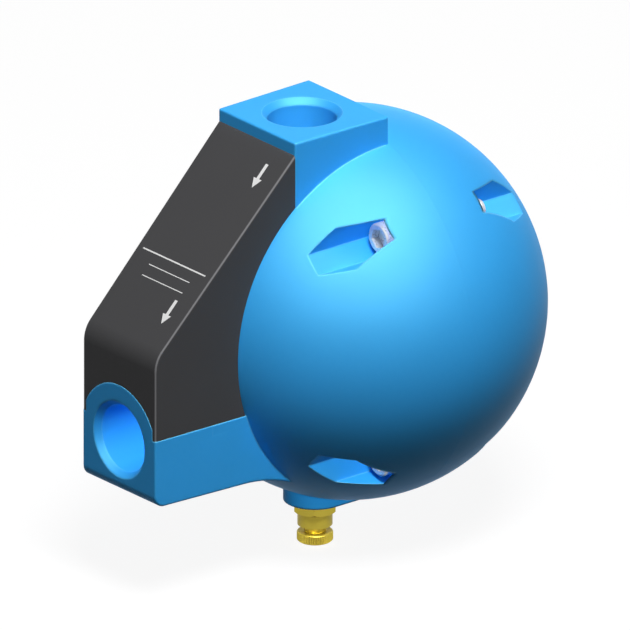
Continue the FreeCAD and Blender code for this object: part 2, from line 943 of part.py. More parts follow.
def pivot_pin():
    half = clip_start() + clip_thickness + pin_end
    pin = rod(pin_r, at(pivot_x, -half, pivot_z), at(pivot_x, half, pivot_z))
    for side in (-1, 1):
        near = at(pivot_x, side * (clip_start() - clip_play / 2), pivot_z)
        far = at(pivot_x, side * (clip_start() + clip_thickness + clip_play / 2), pivot_z)
        pin = pin.cut(tube(2 * pin_r, pin_r - clip_groove_depth, near, far))
    return pin


def pin_clips():
    """Spring clips in the pin's grooves, open below."""
    pieces = []
    hole_r = pin_r - clip_groove_depth + fit_gap
    for side in (-1, 1):
        near = at(pivot_x, side * clip_start(), pivot_z)
        far = at(pivot_x, side * (clip_start() + clip_thickness), pivot_z)
        clip = tube(clip_r, hole_r, near, far)
        mouth = block(
            at(pivot_x - hole_r, min(near.y, far.y), pivot_z - clip_r),
            at(pivot_x + hole_r, max(near.y, far.y), pivot_z),
        )
        pieces.append(clip.cut(mouth))
    return grouped(pieces)


def float_lever():
    """Pressed lever: two cheeks on the pin, a web for the float and a tab for the disc.

    The heel above the pin meets the bracket when the float is fully up.
    """
    swing = math.radians(lever_swing)
    heel_x = pivot_x - bracket_x - stop_gap
    heel_z = (lever_half_height - heel_x * math.sin(swing)) / math.cos(swing)
    heel = at(
        pivot_x - heel_x * math.cos(swing) + heel_z * math.sin(swing),
        0,
        pivot_z + lever_half_height,
    )
    diagonal = lever_round * math.sqrt(0.5)
    low_z = pivot_z - tab_drop
    waist_z = pivot_z - lever_half_height
    cheek = outline(
        heel,
        at(web_x, 0, pivot_z + lever_half_height),
        at(web_x, 0, waist_z),
        at(pivot_x + tab_far, 0, waist_z - lever_thickness),
        at(pivot_x + tab_far, 0, low_z),
        at(pivot_x + tab_near, 0, low_z),
        at(pivot_x + tab_near, 0, pivot_z - lever_round),
        at(pivot_x, 0, pivot_z - lever_round),
        (at(pivot_x - diagonal, 0, pivot_z - diagonal), at(pivot_x - lever_round, 0, pivot_z)),
    )
    solid = slab(cheek, 2 * lever_half_width)
    inside = lever_half_width - lever_thickness
    hollow = block(
        at(pivot_x - 2 * lever_half_width, -inside, low_z),
        at(web_x - lever_thickness, inside, pivot_z + lever_half_height),
    )
    tab = block(
        at(pivot_x + tab_near, -inside, low_z),
        at(pivot_x + tab_near + lever_thickness, inside, waist_z),
    )
    shape = fused(solid.cut(hollow), tab)
    cuts = [
        rod(
            pin_r + pin_gap,
            at(pivot_x, -lever_half_width, pivot_z),
            at(pivot_x, lever_half_width, pivot_z),
        ),
        rod(float_stud_r + fit_gap, at(web_x - lever_thickness, 0, pivot_z), at(web_x, 0, pivot_z)),
        rod(
            holder_stem_r + fit_gap,
            at(pivot_x + tab_near, 0, outlet_z),
            at(pivot_x + tab_near + lever_thickness, 0, outlet_z),
        ),
    ]
    for cut in cuts:
        shape = shape.cut(cut)
    return shape


def poppet_seal():
    """Rubber disc that closes the seat."""
    face_x = seat_lip_x + disc_gap
    return rod(disc_r, at(face_x, 0, outlet_z), at(face_x + disc_thickness, 0, outlet_z))


def poppet_holder():
    """Cup that holds the rubber disc, riveted through the lever's tab."""
    disc_back_x = seat_lip_x + disc_gap + disc_thickness
    tab_x = pivot_x + tab_near
    rivet_x = tab_x + lever_thickness
    shape = fused(
        rod(holder_r, at(disc_back_x - holder_depth, 0, outlet_z), at(tab_x, 0, outlet_z)),
        rod(holder_stem_r, at(tab_x, 0, outlet_z), at(rivet_x, 0, outlet_z)),
        rod(holder_head_r, at(rivet_x, 0, outlet_z), at(rivet_x + holder_head_height, 0, outlet_z)),
    )
    recess = rod(
        disc_r + fit_gap,
        at(disc_back_x - holder_depth, 0, outlet_z),
        at(disc_back_x, 0, outlet_z),
    )
    return shape.cut(recess)


def float_shell(side):
    """Drawn half shell of the float. side is -1 for the half with the stud."""
    middle = at(float_x, 0, pivot_z)
    inner_r = float_r - float_sheet
    diagonal = math.sqrt(0.5)
    return spin(
        outline(
            middle + Z * float_r,
            (middle + X * (side * float_r * diagonal) + Z * (float_r * diagonal),
             middle + X * (side * float_r)),
            middle + X * (side * inner_r),
            (middle + X * (side * inner_r * diagonal) + Z * (inner_r * diagonal),
             middle + Z * inner_r),
        ),
        middle,
        X,
    )


def float_stud():
    """Stud welded to the float, with a shoulder against the lever's web."""
    pole = at(float_x - float_r, 0, pivot_z)
    web = at(web_x, 0, pivot_z)
    shoulder = rod(float_shoulder_r, web, pole + X * float_shoulder_r)
    shoulder = shoulder.cut(Part.makeSphere(float_r, at(float_x, 0, pivot_z)))
    end = web - X * (lever_thickness + float_nut_height + float_stud_end)
    return fused(shoulder, rod(float_stud_r, end, web))


def float_nut():
    near = at(web_x - lever_thickness, 0, pivot_z)
    far = near - X * float_nut_height
    return hexagon(float_nut_flats, near, far, Z).cut(rod(float_stud_r + thread_gap, near, far))


nodes = {
    "body_casting": body_casting(),
    "ball_cover": ball_cover(),
    "joint_o_ring": joint_o_ring(),
    "label_cover": label_cover(),
    "clamp_screws": clamp_screws(),
    "clamp_washers": clamp_washers(),
    "clamp_nuts": clamp_nuts(),
    "inlet_strainer": inlet_strainer(),
    "strainer_ring": strainer_ring(),
    "drain_valve_body": drain_valve_body(),
    "drain_spindle": drain_spindle(),
    "spindle_o_ring": spindle_o_ring(),
    "drain_knob": drain_knob(),
    "valve_seat": valve_seat(),
    "seat_gasket": seat_gasket(),
    "lever_bracket": lever_bracket(),
    "bracket_screws": bracket_screws(),
    "pivot_pin": pivot_pin(),
    "pin_clips": pin_clips(),
    "float_lever": float_lever(),
    "poppet_holder": poppet_holder(),
    "poppet_seal": poppet_seal(),
    "float_shell_near": float_shell(-1),
    "float_shell_far": float_shell(1),
    "float_stud": float_stud(),
    "float_nut": float_nut(),
}

os.makedirs("parts", exist_ok=True)
for name, shape in nodes.items():
    placed = shape.copy()
    placed.translate(origin_shift)
    placed.exportStep("parts/" + name + ".step")
    box = placed.BoundBox
    print(
        name,
        len(placed.Solids),
        placed.isValid(),
        "volume %.1f" % placed.Volume,
        "x %.1f..%.1f y %.1f..%.1f z %.1f..%.1f"
        % (box.XMin, box.XMax, box.YMin, box.YMax, box.ZMin, box.ZMax),
    )
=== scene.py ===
"""Looks of the automatic drain valve: finishes, printed marks, screw threads and the studio.

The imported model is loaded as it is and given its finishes. What is added rides on the
housing: the flow arrows and rules printed on the sloped cover, the plastic rings of the lock
nuts and the thread on the ends of the clamp screws. Lengths are in metres.
"""

import json
import math

import bpy
import numpy as np
from mathutils import Matrix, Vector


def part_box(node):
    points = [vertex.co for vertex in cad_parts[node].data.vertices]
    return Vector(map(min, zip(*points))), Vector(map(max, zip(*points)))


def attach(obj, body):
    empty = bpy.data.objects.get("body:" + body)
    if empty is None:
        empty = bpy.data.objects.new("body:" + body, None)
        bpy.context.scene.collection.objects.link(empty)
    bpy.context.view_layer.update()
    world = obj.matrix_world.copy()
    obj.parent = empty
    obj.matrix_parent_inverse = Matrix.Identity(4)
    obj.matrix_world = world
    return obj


bl_info = {
    "name": "Automatic drain valve",
    "version": (1, 0, 0),
    "blender": (4, 5, 0),
    "location": "3D View > Sidebar > Drain valve",
    "description": "Finishes, printed marks and studio for a float drain valve",
    "category": "Object",
}

MM = 0.001

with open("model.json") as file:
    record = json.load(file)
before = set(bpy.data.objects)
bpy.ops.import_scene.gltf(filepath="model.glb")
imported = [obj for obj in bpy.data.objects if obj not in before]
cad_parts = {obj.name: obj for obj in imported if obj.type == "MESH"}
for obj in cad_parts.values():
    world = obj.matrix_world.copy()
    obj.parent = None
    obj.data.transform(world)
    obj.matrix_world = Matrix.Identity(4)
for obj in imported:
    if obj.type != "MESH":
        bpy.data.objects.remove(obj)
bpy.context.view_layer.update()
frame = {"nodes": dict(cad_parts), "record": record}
NODES = frame["nodes"]
COLOURS = {m["slot"]: m["base_color"] for m in frame["record"]["materials"]}


def node_box(name):
    """Lowest and highest corner of a node."""
    low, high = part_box(name)
    return np.array(low), np.array(high)


# Ball: the far half reaches from the joint to the pole, and both halves share its centre
FAR_LOW, FAR_HIGH = node_box("ball_cover")
JOINT_X = float(FAR_LOW[0])
BALL_R = (FAR_HIGH[2] - FAR_LOW[2]) / 2
BALL_CENTRE = np.array([FAR_HIGH[0] - BALL_R, 0.0, (FAR_HIGH[2] + FAR_LOW[2]) / 2])

# Clamp screws, M5, and the nylon rings of their lock nuts
SCREW_R = 2.5 * MM
SCREW_HEAD_R = 4.25 * MM
SCREW_PITCH = 0.8 * MM
THREAD_DEPTH = 0.12 * MM
RING_INNER_R = SCREW_R + 0.05 * MM
RING_OUTER_R = 3.2 * MM
RING_HEIGHT = 0.35 * MM
RING_SUNK = 0.5 * MM

# Places of the printed marks: down the slope from its top edge, and aside towards -Y
ARROW_DOWN = (9 * MM, 53 * MM)
ARROW_ASIDE = 9 * MM
RULE_DOWN = 40 * MM
RULE_HALF = 12.9 * MM
LINE_ASIDE = (-7.6 * MM, 9.2 * MM)
LINE_COUNT = 2

# Picture: its width in pixels, and the pixel where the ball's centre is seen
PICTURE = 630
BALL_PIXEL = (348.8, 300.9)
CAMERA_DISTANCE = 0.8

# Floor under the knob, a hair below it so that the two don't touch
FLOOR_Z = node_box("drain_knob")[0][2] - 0.2 * MM
FLOOR_R = 3.0

# Rays that see a thing itself, and not only the light that it sends out
SEEING_RAYS = ("Camera", "Glossy", "Transmission")

# Lamps: their distance from the ball, and directions given as right, up and back
LAMP_DISTANCE = 1.2
FROM_ABOVE = (0.1, 0.62, 0.78)
FROM_BEHIND = (0.0, 0.6, -1.0)
MAIN_SIZE, MAIN_POWER = 0.4, 15.5
REAR_SIZE, REAR_POWER = 0.6, 7.0
SHEEN_SIZE, SHEEN_POWER = 1.7, 420.0


# Materials


class Field:
    """A value that varies over a surface. It wraps one output socket of a node tree."""

    def __init__(self, finish, socket):
        self.finish = finish
        self.socket = socket

    def __add__(self, other):
        return self.finish.calc("ADD", self, other)

    def __radd__(self, other):
        return self.finish.calc("ADD", other, self)

    def __sub__(self, other):
        return self.finish.calc("SUBTRACT", self, other)

    def __rsub__(self, other):
        return self.finish.calc("SUBTRACT", other, self)

    def __mul__(self, other):
        return self.finish.calc("MULTIPLY", self, other)

    def __rmul__(self, other):
        return self.finish.calc("MULTIPLY", other, self)

    def __pow__(self, other):
        return self.finish.calc("POWER", self, other)

    def __abs__(self):
        return self.finish.calc("ABSOLUTE", self)


class Finish:
    """One material on the Principled shader, with the few calls that its pattern needs."""

    def __init__(self, name, **settings):
        self.material = bpy.data.materials.new(name)
        self.material.use_nodes = True
        self.tree = self.material.node_tree
        self.shader = self.tree.nodes["Principled BSDF"]
        for socket, value in settings.items():
            self.put(socket.replace("_", " "), value)

    def link(self, socket, value):
        """Joins a field to any socket, or writes a plain value on it."""
        if isinstance(value, Field):
            self.tree.links.new(value.socket, socket)
        else:
            socket.default_value = value

    def put(self, socket, value):
        """Gives one of the shader's inputs a field or a plain value."""
        names = {name.lower(): name for name in self.shader.inputs.keys()}
        if isinstance(value, (tuple, list)) and len(value) == 3 and "color" in socket.lower():
            value = (*value, 1.0)
        self.link(self.shader.inputs[names[socket.lower()]], value)

    def node(self, kind, inputs=None, output=0, **settings):
        """Adds any node, with its settings and inputs, and returns one of its outputs."""
        made = self.tree.nodes.new(kind)
        for key, value in settings.items():
            setattr(made, key, value)
        for key, value in (inputs or {}).items():
            self.link(made.inputs[key], value)
        return Field(self, made.outputs[output])

    def calc(self, operation, *values):
        """Arithmetic on numbers or, where one of the values is a vector, on vectors."""
        vectors = [v for v in values if isinstance(v, Field) and v.socket.type == "VECTOR"]
        kind = "ShaderNodeVectorMath" if vectors else "ShaderNodeMath"
        made = self.tree.nodes.new(kind)
        made.operation = operation
        for place, value in enumerate(values):
            if vectors and isinstance(value, (int, float)):
                value = (value, value, value)
            self.link(made.inputs[place], value)
        return Field(self, made.outputs[0])

    def place(self):
        """Position on the valve, in metres."""
        return self.node("ShaderNodeTexCoord", output="Object")

    def facing(self):
        """Direction that the flat face points in."""
        return self.node("ShaderNodeNewGeometry", output="Normal")

    def axes(self, vector):
        """The three numbers of a vector."""
        made = self.tree.nodes.new("ShaderNodeSeparateXYZ")
        self.link(made.inputs[0], vector)
        return [Field(self, made.outputs[i]) for i in range(3)]

    def noise(self, size, detail=2.0, roughness=0.5, stretch=(1.0, 1.0, 1.0)):
        """Noise between 0 and 1 whose lumps are about as large as size."""
        where = self.place() * tuple(s / size for s in stretch)
        return self.node(
            "ShaderNodeTexNoise",
            {"Vector": where, "Scale": 1.0, "Detail": detail, "Roughness": roughness},
            output="Fac",
        )

    def ramp(self, value, low, high, to_low=0.0, to_high=1.0):
        """value from low to high becomes to_low to to_high, smoothly, and stays there beyond."""
        return self.node(
            "ShaderNodeMapRange",
            {"Value": value, "From Min": low, "From Max": high, "To Min": to_low, "To Max": to_high},
            interpolation_type="SMOOTHSTEP",
        )

    def blend(self, amount, first, second):
        """Colour that goes from first to second with amount."""
        colours = [c if isinstance(c, Field) else (*c, 1.0) for c in (first, second)]
        made = self.tree.nodes.new("ShaderNodeMix")
        made.data_type = "RGBA"
        self.link(made.inputs[0], amount)
        self.link(made.inputs[6], colours[0])
        self.link(made.inputs[7], colours[1])
        return Field(self, made.outputs[2])

    def edge(self, radius):
        """0 on flat faces, rising to 1 on outer and inner edges within radius: the more a
        rounded normal leans from the face's own, the smaller is their dot product."""
        bent = self.node("ShaderNodeBevel", {"Radius": radius}, samples=6)
        match = self.node(
            "ShaderNodeVectorMath", {0: bent, 1: self.facing()}, "Value", operation="DOT_PRODUCT"
        )
        return self.ramp(match, 0.995, 0.8)

    def hollow(self, reach):
        """0 on open faces, rising to 1 in grooves and corners that are narrower than reach."""
        open_share = self.node(
            "ShaderNodeAmbientOcclusion", {"Distance": reach}, output="AO", samples=8, only_local=True
        )
        return self.ramp(open_share, 0.95, 0.5)

    def rounded(self, radius, amount):
        """Normals as if each edge were rounded, by amount between none and all of it."""
        flat = self.facing()
        bent = self.node("ShaderNodeBevel", {"Radius": radius}, samples=8)
        return flat + (bent - flat) * amount

    def relief(self, height, depth, normal=None):
        """Bump: height between 0 and 1 stands depth metres proud."""
        inputs = {"Height": height, "Distance": depth, "Strength": 1.0}
        if normal is not None:
            inputs["Normal"] = normal
        self.put("Normal", self.node("ShaderNodeBump", inputs))


def shade(colour, factor):
    """Colour made darker or lighter by a factor."""
    return tuple(min(1.0, max(0.0, c * factor)) for c in colour)


def blue_coating(colour):
    """Smooth bright enamel over a casting: a broad cyan sheen, a faint orange peel, and
    rounded edges that catch the light, with a painted highlight of paler cyan along the edges, all
    except along the joint, where the halves meet flush."""
    finish = Finish(
        "blue coating", Specular_IOR_Level=0.15, Specular_Tint=(0.35, 1.0, 0.85, 1.0)
    )
    cloud = finish.noise(14 * MM, detail=3.0)
    from_joint = abs(finish.axes(finish.place())[0] - JOINT_X)
    off_joint = finish.ramp(from_joint, 0.7 * MM, 1.2 * MM)
    edge = finish.edge(0.6 * MM) * off_joint
    base = finish.blend(cloud, shade(colour, 0.97), shade(colour, 1.03))
    # Painted highlight: outer and inner edges are blended towards a paler cyan.
    finish.put("Base Color", finish.blend(edge * 0.5, base, (0.3, 0.85, 1.0)))
    finish.put("Roughness", 0.5 + 0.06 * finish.noise(5 * MM))
    rounded = finish.rounded(0.8 * MM, off_joint)
    finish.relief(finish.noise(1.6 * MM, detail=1.0), 0.004 * MM, rounded)
    return finish.material


def grained_plastic(colour):
    """Moulded black plastic with a fine spark-eroded grain. Its rounded long edges, where
    the surface turns from a side to another face, carry a painted highlight, a paler line:
    there, the normal's sideways share times the rest of it comes near one half."""
    finish = Finish("grained black plastic", Specular_IOR_Level=0.08)
    grain = finish.noise(0.35 * MM, detail=3.0, roughness=0.65)
    cloud = finish.noise(18 * MM, detail=2.0)
    side = abs(finish.axes(finish.facing())[1])
    # Painted highlight: a paler line where a side turns into another face.
    painted_edge_highlight = finish.ramp(side * (1.0 - side * side) ** 0.5, 0.36, 0.48)
    base = finish.blend(cloud, shade(colour, 1.35), shade(colour, 1.45))
    finish.put("Base Color", finish.blend(painted_edge_highlight * 0.7, base, shade(colour, 6.0)))
    finish.put("Roughness", finish.ramp(grain, 0.2, 0.8, 0.5, 0.65))
    finish.relief(grain, 0.01 * MM)
    return finish.material


def turned_brass(colour):
    """Turned brass: fine rings round the vertical axis, and painted shade in grooves and knurls."""
    finish = Finish("turned brass", Metallic=0.5, Specular_IOR_Level=0.3)
    height = finish.axes(finish.place())[2]
    rings_per_metre = 1 / (0.12 * MM)
    rings = finish.node(
        "ShaderNodeTexNoise",
        {"W": height * rings_per_metre, "Scale": 1.0, "Detail": 2.0},
        output="Fac",
        noise_dimensions="1D",
    )
    stain = finish.noise(4 * MM, detail=3.0)
    # Painted shade: grooves, knurls and corners found by ambient occlusion are darkened.
    painted_groove_shade = finish.hollow(0.5 * MM)
    base = finish.blend(stain, shade(colour, 0.9), shade(colour, 1.06))
    finish.put("Base Color", finish.blend(painted_groove_shade * 0.85, base, shade(colour, 0.15)))
    finish.put("Roughness", finish.ramp(rings, 0.3, 0.7, 0.36, 0.48))
    finish.relief(rings, 0.003 * MM)
    return finish.material


def zinc_plate(colour):
    """Zinc plate with a fine mottled grain, and painted shade along its outer and inner edges."""
    finish = Finish("zinc plate", Metallic=0.35)
    grain = finish.noise(0.8 * MM, detail=3.0)
    # Painted shade: the base is darkened along outer edges and into inner corners.
    edge = finish.edge(0.2 * MM)
    base = finish.blend(grain, shade(colour, 0.9), colour)
    finish.put("Base Color", finish.blend(edge * 0.5, base, shade(colour, 0.3)))
    finish.put("Roughness", finish.ramp(grain, 0.3, 0.7, 0.26, 0.4))
    return finish.material


def drawn_stainless(colour):
    """Pressed and drawn stainless steel with long fine draw marks."""
    finish = Finish("drawn stainless steel", Metallic=1.0)
    marks = finish.noise(0.5 * MM, detail=3.0, stretch=(0.08, 1.0, 1.0))
    cloud = finish.noise(9 * MM)
    base = finish.blend(cloud, shade(colour, 0.9), shade(colour, 1.08))
    finish.put("Base Color", base)
    finish.put("Roughness", finish.ramp(marks, 0.3, 0.7, 0.22, 0.38))
    finish.relief(marks, 0.003 * MM)
    return finish.material


def seal_rubber(colour):
    """Black nitrile rubber with a faint bloom."""
    finish = Finish("seal rubber", Specular_IOR_Level=0.3)
    bloom = finish.noise(2 * MM, detail=3.0)
    finish.put("Base Color", finish.blend(bloom, shade(colour, 0.8), shade(colour, 1.5)))
    finish.put("Roughness", finish.ramp(bloom, 0.3, 0.7, 0.6, 0.78))
    return finish.material


def white_ink(colour):
    """White pad-printing ink with a slightly uneven film."""
    finish = Finish("white ink", Specular_IOR_Level=0.35)
    film = finish.noise(0.6 * MM, detail=3.0)
    finish.put("Base Color", finish.blend(film, shade(colour, 0.9), colour))
    finish.put("Roughness", finish.ramp(film, 0.3, 0.7, 0.42, 0.55))
    return finish.material


def ring_nylon(colour):
    """Milky nylon of the lock nuts' rings."""
    finish = Finish("ring nylon", Specular_IOR_Level=0.45)
    haze = finish.noise(1.5 * MM)
    finish.put("Base Color", finish.blend(haze, shade(colour, 0.93), colour))
    finish.put("Roughness", finish.ramp(haze, 0.3, 0.7, 0.38, 0.5))
    return finish.material


def seen_directly(finish):
    """1 for camera, glossy and transmission rays, 0 for the light that the object receives."""
    made = finish.tree.nodes.new("ShaderNodeLightPath")
    rays = [Field(finish, made.outputs[f"Is {kind} Ray"]) for kind in SEEING_RAYS]
    return finish.calc("MINIMUM", rays[0] + rays[1] + rays[2], 1.0)


# Geometry


def mesh_object(name, points, faces, finish, smooth=True):
    """New piece at the origin, with its place in its mesh."""
    mesh = bpy.data.meshes.new(name)
    mesh.from_pydata([tuple(p) for p in np.asarray(points)], [], [tuple(f) for f in faces])
    mesh.update()
    mesh.materials.append(finish)
    mesh.polygons.foreach_set("use_smooth", np.full(len(mesh.polygons), smooth))
    made = bpy.data.objects.new(name, mesh)
    bpy.context.scene.collection.objects.link(made)
    return made


def grid_faces(rows, columns, close_rows=False, close_columns=False):
    """Quads of a grid of points stored row by row."""
    row = np.arange(rows if close_rows else rows - 1)
    column = np.arange(columns if close_columns else columns - 1)
    i, j = np.meshgrid(row, column, indexing="ij")
    next_i = (i + 1) % rows
    next_j = (j + 1) % columns
    corners = [i * columns + j, i * columns + next_j, next_i * columns + next_j, next_i * columns + j]
    return np.stack(corners, axis=-1).reshape(-1, 4)


def joined(parts):
    """One set of points and faces from several."""
    points = []
    faces = []
    start = 0
    for part_points, part_faces in parts:
        points.append(part_points)
        faces.extend([tuple(int(v) + start for v in face) for face in part_faces])
        start += len(part_points)
    return np.concatenate(points), faces


# Printed marks on the sloped cover


def slope_frame():
    """Origin, downhill direction, sideways direction and normal of the cover's sloped face,
    which is its largest flat face that looks up and away from the ball."""
    node = NODES["label_cover"]
    faces = [face for face in node.data.polygons if face.normal.x < -0.5 and face.normal.z > 0.5]
    largest = max(faces, key=lambda face: face.area)
    corners = [node.matrix_world @ node.data.vertices[v].co for v in largest.vertices]
    normal = np.array((node.matrix_world.to_3x3() @ largest.normal).normalized())
    across = np.array([0.0, -1.0, 0.0])
    down = np.cross(across, normal)
    top = max(corners, key=lambda corner: corner.z)
    return np.array([top.x, 0.0, top.z]), down, across, normal


def printed(points_2d, faces, lift):
    """Lays flat marks on the slope. A point's first number runs down the slope from the
    cover's top edge, its second sideways from the middle, towards -Y."""
    origin, down, across, normal = slope_frame()
    flat = np.asarray(points_2d, float)
    laid = origin + flat[:, :1] * down + flat[:, 1:] * across + normal * lift
    return laid, faces


def bar(start, end, width):
    """Straight stroke with rounded ends: the outline is a half circle round each end."""
    start = np.array(start, float)
    end = np.array(end, float)
    along = (end - start) / np.linalg.norm(end - start)
    side = np.array([-along[1], along[0]])
    turn = np.linspace(-math.pi / 2, math.pi / 2, 7)[:, None]
    far = end + (np.cos(turn) * along + np.sin(turn) * side) * width / 2
    near = start - (np.cos(turn) * along + np.sin(turn) * side) * width / 2
    outline = np.concatenate([far, near])
    return outline, [tuple(range(len(outline)))]


def arrow(tail, tip, width, head_length, head_width):
    """Flow arrow: a straight shaft and a three-cornered head."""
    tail = np.array(tail, float)
    tip = np.array(tip, float)
    along = (tip - tail) / np.linalg.norm(tip - tail)
    side = np.array([-along[1], along[0]])
    neck = tip - along * head_length
    outline = np.array([
        tail + side * width / 2,
        neck + side * width / 2,
        neck + side * head_width / 2,
        tip,
        neck - side * head_width / 2,
        neck - side * width / 2,
        tail - side * width / 2,
    ])
    return outline, [(0, 1, 5, 6), (2, 3, 4), (1, 2, 4, 5)]


# Screw threads and the lock nuts' rings


def screw_axes():
    """Middle line of each clamp screw, as (y, z), from the outer sides of the four heads."""
    low, high = node_box("clamp_screws")
    middle = (low + high) / 2
    out = (high[1] - low[1]) / 2 - SCREW_HEAD_R
    return [(sy * out, middle[2] + sz * out) for sy in (-1, 1) for sz in (-1, 1)]


def thread(start_x, end_x, y, z, radius, pitch, depth):
    """Helical ridge round an X axis. The crest runs round the screw once per pitch, and the
    flanks fall from the crest to the root in straight lines; both ends fade into the shank."""
    steps_per_turn = 48
    turns = (end_x - start_x) / pitch
    steps = int(turns * steps_per_turn)
    along = np.linspace(0.0, 1.0, steps + 1)
    angle = along * turns * 2 * math.pi
    fade = np.clip(np.minimum(along, 1 - along) * turns * 3, 0.0, 1.0)
    offsets = np.array([-0.42, -0.06, 0.06, 0.42]) * pitch
    heights = np.array([-0.3, 1.0, 1.0, -0.3])
    x = start_x + along[:, None] * (end_x - start_x) + offsets[None, :]
    x = np.clip(x, start_x - 0.2 * pitch, end_x)
    r = radius + depth * (heights[None, :] * fade[:, None] - 0.3 * (1 - fade[:, None]))
    points = np.stack(
        [x, y + r * np.cos(angle)[:, None], z + r * np.sin(angle)[:, None]], axis=-1
    )
    return points.reshape(-1, 3), grid_faces(steps + 1, 4, close_columns=True)


def lock_ring(x, y, z, inner_r, outer_r, height):
    """Ring about an X axis with a half-round top: its section is an upright and an arch."""
    turn = np.linspace(0, 2 * math.pi, 48, endpoint=False)
    arch = np.linspace(math.pi, 0, 9)
    middle_r = (inner_r + outer_r) / 2
    half = (outer_r - inner_r) / 2
    section_r = np.concatenate([[inner_r], middle_r + half * np.cos(arch), [outer_r]])
    section_x = np.concatenate([[0.0], height + half * 0.6 * np.sin(arch), [0.0]])
    points = np.stack(
        [
            np.broadcast_to(x + section_x[None, :], (len(turn), len(section_x))),
            y + np.cos(turn)[:, None] * section_r[None, :],
            z + np.sin(turn)[:, None] * section_r[None, :],
        ],
        axis=-1,
    )
    return points.reshape(-1, 3), grid_faces(len(turn), len(section_x), True, True)


# Settings


class ValveColours(bpy.types.PropertyGroup):
    coating: bpy.props.FloatVectorProperty(
        name="Coating", description="Enamel on both castings", subtype="COLOR",
        min=0.0, max=1.0, default=(0.03, 0.37, 0.88),
    )
    plastic: bpy.props.FloatVectorProperty(
        name="Cover", description="Moulded plastic of the sloped cover", subtype="COLOR",
        min=0.0, max=1.0, default=COLOURS["black_plastic"],
    )
    brass: bpy.props.FloatVectorProperty(
        name="Brass", description="Drain valve, seat and disc holder", subtype="COLOR",
        min=0.0, max=1.0, default=(0.6, 0.47, 0.05),
    )
    zinc: bpy.props.FloatVectorProperty(
        name="Zinc", description="Clamp screws, washers and nuts", subtype="COLOR",
        min=0.0, max=1.0, default=COLOURS["zinc_steel"],
    )
    stainless: bpy.props.FloatVectorProperty(
        name="Stainless", description="Float, lever, bracket and strainer", subtype="COLOR",
        min=0.0, max=1.0, default=COLOURS["stainless"],
    )
    rubber: bpy.props.FloatVectorProperty(
        name="Rubber", description="Seals", subtype="COLOR",
        min=0.0, max=1.0, default=COLOURS["black_rubber"],
    )
    ink: bpy.props.FloatVectorProperty(
        name="Ink", description="Printed marks on the cover", subtype="COLOR",
        min=0.0, max=1.0, default=(0.86, 0.86, 0.86),
    )
    nylon: bpy.props.FloatVectorProperty(
        name="Nylon", description="Locking rings of the nuts", subtype="COLOR",
        min=0.0, max=1.0, default=(0.85, 0.86, 0.84),
    )


class ValveMarks(bpy.types.PropertyGroup):
    arrow_length: bpy.props.FloatProperty(
        name="Arrow length", description="Length of each flow arrow", unit="LENGTH",
        min=2 * MM, default=7.5 * MM,
    )
    stroke: bpy.props.FloatProperty(
        name="Stroke", description="Width of an arrow's shaft", unit="LENGTH",
        min=0.2 * MM, default=1.1 * MM,
    )
    rule_width: bpy.props.FloatProperty(
        name="Rule width", description="Width of the long rule", unit="LENGTH",
        min=0.1 * MM, default=0.4 * MM,
    )
    line_pitch: bpy.props.FloatProperty(
        name="Line pitch", description="From the rule to the short lines below it", unit="LENGTH",
        min=1 * MM, default=3.4 * MM,
    )
    film: bpy.props.FloatProperty(
        name="Film", description="Height of the ink over the cover", unit="LENGTH",
        min=0.005 * MM, default=0.03 * MM,
    )


class ValveStudio(bpy.types.PropertyGroup):
    azimuth: bpy.props.FloatProperty(
        name="Azimuth", description="Direction of view round the valve, in degrees", default=-39.15,
    )
    elevation: bpy.props.FloatProperty(
        name="Elevation", description="Height of view over the horizon, in degrees", default=22.1,
    )
    pixel: bpy.props.FloatProperty(
        name="Pixel", description="Real size of one pixel of the picture", unit="LENGTH",
        default=0.266 * MM,
    )
    key: bpy.props.FloatProperty(
        name="Lamps", description="Strength of all the lamps", min=0.0, default=1.0,
    )
    ambient: bpy.props.FloatProperty(
        name="Ambient", description="Light from all round", min=0.0, max=1.0, default=0.03,
    )


# Operators


class ValveStep(bpy.types.Operator):
    """One step in finishing the valve"""

    bl_options = {"REGISTER", "UNDO"}

    def paint(self, finish, slot, *names):
        """Gives these nodes one finish. The material slot that it is given is not used."""
        for name in names:
            node = NODES[name]
            node.data.materials.clear()
            node.data.materials.append(finish)


class VALVE_OT_castings(ValveStep):
    """Gives both halves of the ball their blue coating"""

    bl_idname = "valve.castings"
    bl_label = "Coat the castings"

    def execute(self, context):
        finish = blue_coating(tuple(context.scene.valve_colours.coating))
        self.paint(finish, "blue_casting", "body_casting", "ball_cover")
        return {"FINISHED"}


class VALVE_OT_cover(ValveStep):
    """Gives the sloped cover its grained plastic"""

    bl_idname = "valve.cover"
    bl_label = "Finish the cover"

    def execute(self, context):
        finish = grained_plastic(tuple(context.scene.valve_colours.plastic))
        self.paint(finish, "black_plastic", "label_cover")
        return {"FINISHED"}


class VALVE_OT_marks(ValveStep):
    """Prints the flow arrows and rules on the cover"""

    bl_idname = "valve.marks"
    bl_label = "Print the marks"

    def execute(self, context):
        marks = context.scene.valve_marks
        half = marks.arrow_length / 2
        head_length, head_width = marks.stroke * 2.6, marks.stroke * 3.0
        strokes = []
        for down in ARROW_DOWN:
            tail, tip = (down - half, ARROW_ASIDE), (down + half, ARROW_ASIDE)
            strokes.append(arrow(tail, tip, marks.stroke, head_length, head_width))
        strokes.append(bar((RULE_DOWN, -RULE_HALF), (RULE_DOWN, RULE_HALF), marks.rule_width))
        for i in range(LINE_COUNT):
            down = RULE_DOWN + (i + 1) * marks.line_pitch
            start, end = ((down, aside) for aside in LINE_ASIDE)
            strokes.append(bar(start, end, marks.rule_width * 0.6))
        points, faces = printed(*joined(strokes), marks.film)
        finish = white_ink(tuple(context.scene.valve_colours.ink))
        made = mesh_object("printed_marks", points, faces, finish, smooth=False)
        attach(made, "housing")
        return {"FINISHED"}


